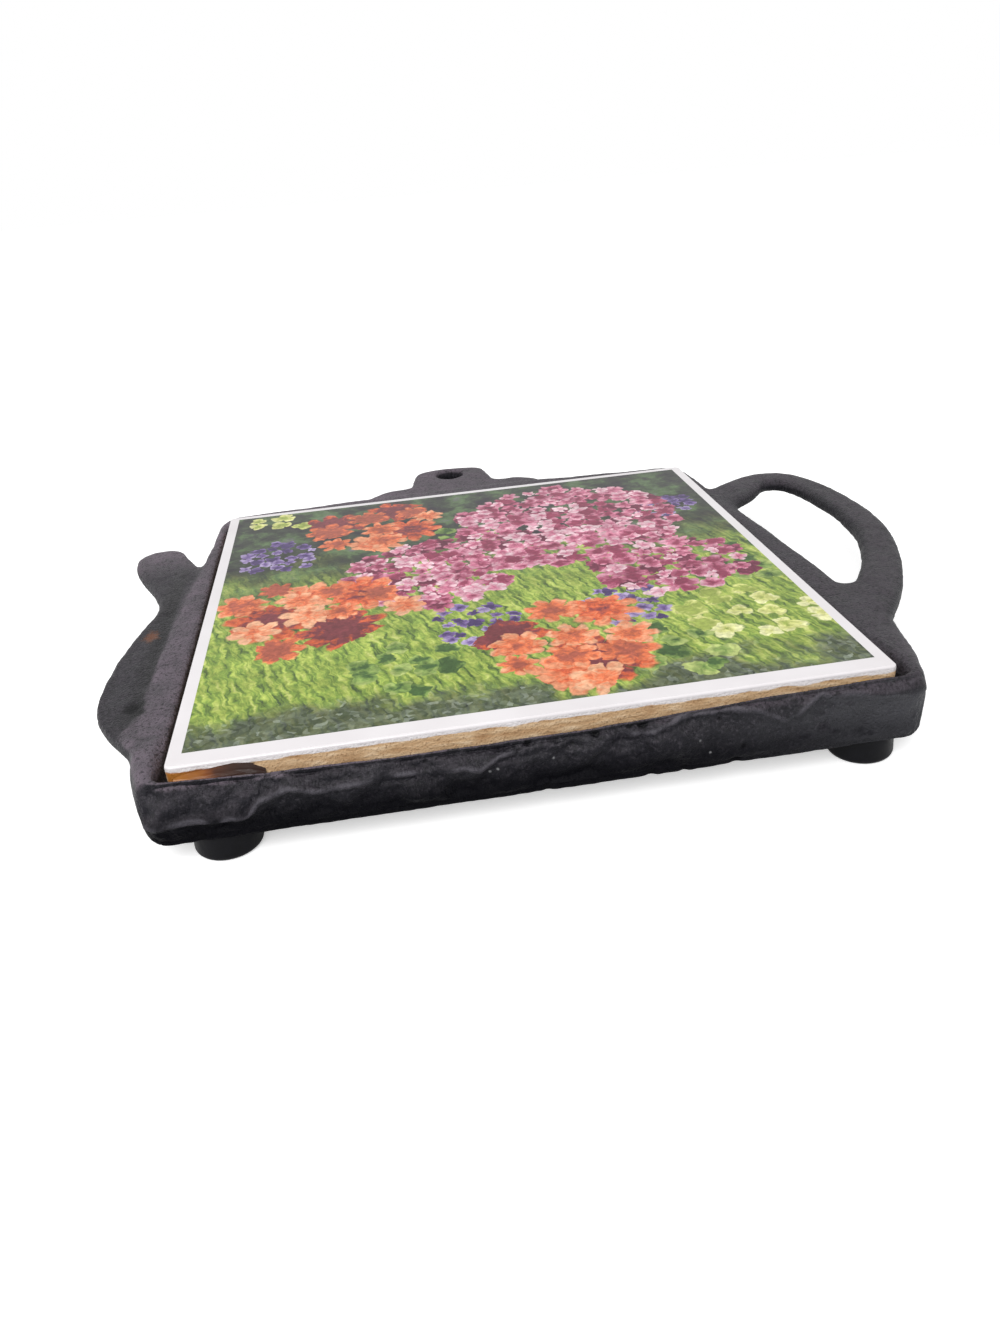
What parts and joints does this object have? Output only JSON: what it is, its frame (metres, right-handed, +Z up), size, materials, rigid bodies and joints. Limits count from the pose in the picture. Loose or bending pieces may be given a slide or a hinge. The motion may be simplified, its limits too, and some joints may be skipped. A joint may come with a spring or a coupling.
{
  "type": "trivet",
  "caption": "Teapot-shaped cast-iron trivet on rubber feet, holding a square ceramic tile with a flower print, with a handle loop and a hanging hole.",
  "frame": {"origin": "centre of the object's box, on the surface it stands on", "axes": "+X from the spout towards the handle, +Y from the front edge towards the lid and its knob, +Z up"},
  "size_m": [0.2248, 0.2004, 0.0222],
  "materials": {
    "cast_iron": "satin-sealed sand casting, bluish to brownish charcoal, rough on its sides",
    "rubber": "smooth matte black",
    "clay": "unglazed tan biscuit, matte",
    "glaze": "glossy white glaze",
    "print": null,
    "adhesive": "amber to dark brown set adhesive, glossy"
  },
  "bodies": {
    "root": {"frame": "cast_iron", "foot_cap_front_left": "rubber", "foot_cap_front_right": "rubber", "foot_cap_back_left": "rubber", "foot_cap_back_right": "rubber", "tile_body": "clay", "tile_glaze": "glaze", "tile_print": "print", "glue_bead_front": "adhesive", "glue_bead_back": "adhesive", "glue_bead_left": "adhesive", "glue_bead_right": "adhesive", "glue_spill_left": "adhesive", "glue_spill_right": "adhesive"}
  },
  "joints": []
}
